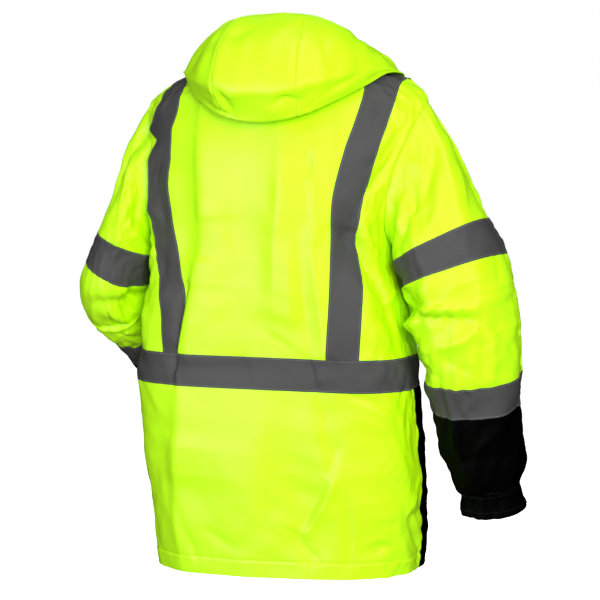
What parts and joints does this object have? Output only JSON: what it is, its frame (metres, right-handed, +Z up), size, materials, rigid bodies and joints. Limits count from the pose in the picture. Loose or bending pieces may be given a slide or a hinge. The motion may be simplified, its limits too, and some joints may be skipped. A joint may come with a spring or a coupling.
{
  "type": "hi-vis work jacket",
  "caption": "Hollow hooded hi-vis work jacket as worn, yellow over black cloth with reflective tape, front zip, hood lying down and left arm bent.",
  "frame": {"origin": "the middle between the shoulders at the height of the neck seam at the back, where the wearer's neck comes through", "axes": "+Z up, -Y the way the wearer faces, +X towards the wearer's left"},
  "size_m": [0.7444, 0.4211, 0.888],
  "materials": {
    "yellow_cloth": "coated woven cloth, slightly glossy",
    "black_cloth": "coated woven cloth",
    "reflective_tape": "grey retroreflective tape, satin",
    "zip_tape": "woven zip tape",
    "dark_metal": "dark lacquered metal"
  },
  "bodies": {
    "garment": {"back_panel": "yellow_cloth", "collar": "yellow_cloth", "cuff_left": "black_cloth", "cuff_right": "black_cloth", "front_left_lower": "black_cloth", "front_left_upper": "yellow_cloth", "front_right_lower": "black_cloth", "front_right_upper": "yellow_cloth", "hood_centre": "yellow_cloth", "hood_left": "yellow_cloth", "hood_right": "yellow_cloth", "sleeve_left_lower": "black_cloth", "sleeve_left_upper": "yellow_cloth", "sleeve_right_lower": "black_cloth", "sleeve_right_upper": "yellow_cloth", "tape_back_left": "reflective_tape", "tape_back_right": "reflective_tape", "tape_forearm_left": "reflective_tape", "tape_forearm_right": "reflective_tape", "tape_front_left": "reflective_tape", "tape_front_right": "reflective_tape", "tape_upper_arm_left": "reflective_tape", "tape_upper_arm_right": "reflective_tape", "tape_waist_back": "reflective_tape", "tape_waist_front_left": "reflective_tape", "tape_waist_front_right": "reflective_tape", "zip_slider": "dark_metal", "zip_tape_left": "zip_tape", "zip_tape_right": "zip_tape"},
    "pull": {"zip_pull": "dark_metal"}
  },
  "joints": [
    {"name": "zip_pull_swing", "type": "hinge", "parent": "garment", "child": "pull", "pos_m": [0, -0.08787, -0.02764], "axis": [-1, 0, 0], "range_deg": [0, 170]}
  ]
}
